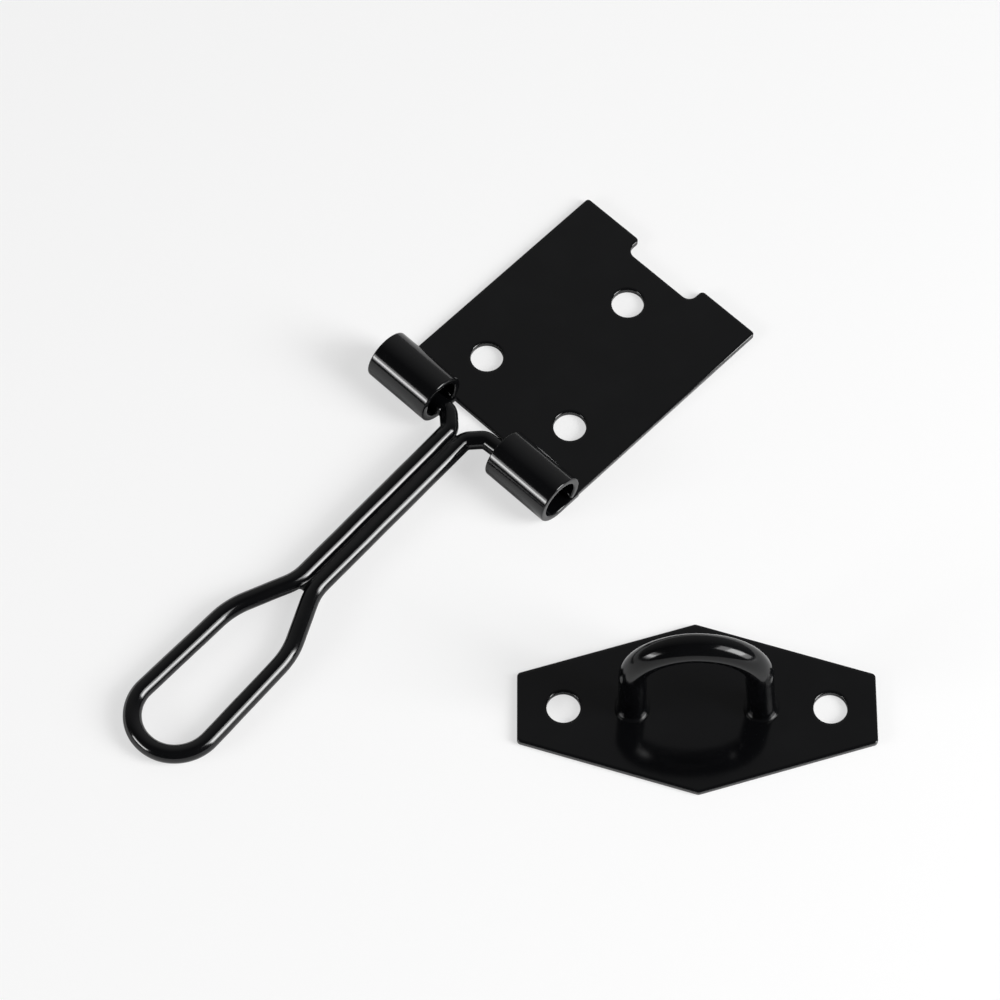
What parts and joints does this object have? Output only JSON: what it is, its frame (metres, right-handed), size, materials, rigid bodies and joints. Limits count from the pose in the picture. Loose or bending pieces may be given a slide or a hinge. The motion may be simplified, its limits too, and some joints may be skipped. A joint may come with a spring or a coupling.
{
  "type": "wire hasp and staple",
  "caption": "Gate or shed latch: a screw-on plate with rolled knuckles holds a swinging bent-wire hasp, beside its separate padlock staple.",
  "frame": {"origin": "on the hinge plate's flat back face, on its centre line, halfway between its far edge and the hinge line", "axes": "+Z out of the surface the plate is screwed to, +Y along the plate towards its notched far edge (the hasp lies out towards -Y), +X across the plate towards the side where the staple lies"},
  "size_m": [0.1365, 0.1624, 0.031],
  "materials": {
    "plate_enamel": "gloss black enamel on stamped steel sheet",
    "wire_enamel": "gloss black enamel on round steel wire and bar"
  },
  "bodies": {
    "hinge_plate": {"hinge_plate": "plate_enamel"},
    "wire_hasp": {"wire_hasp": "wire_enamel"},
    "staple": {"staple_plate": "plate_enamel", "staple_loop": "wire_enamel"}
  },
  "joints": [
    {"name": "hasp_swing", "type": "hinge", "parent": "hinge_plate", "child": "wire_hasp", "pos_m": [-0.0024, -0.03055, 0.00406], "axis": [-0.9987, -0.0506, 0], "range_deg": [0, 181]},
    {"name": "staple_lift", "type": "slide", "parent": "hinge_plate", "child": "staple", "axis": [0, 0, 1], "range_m": [0, 0.06]}
  ]
}
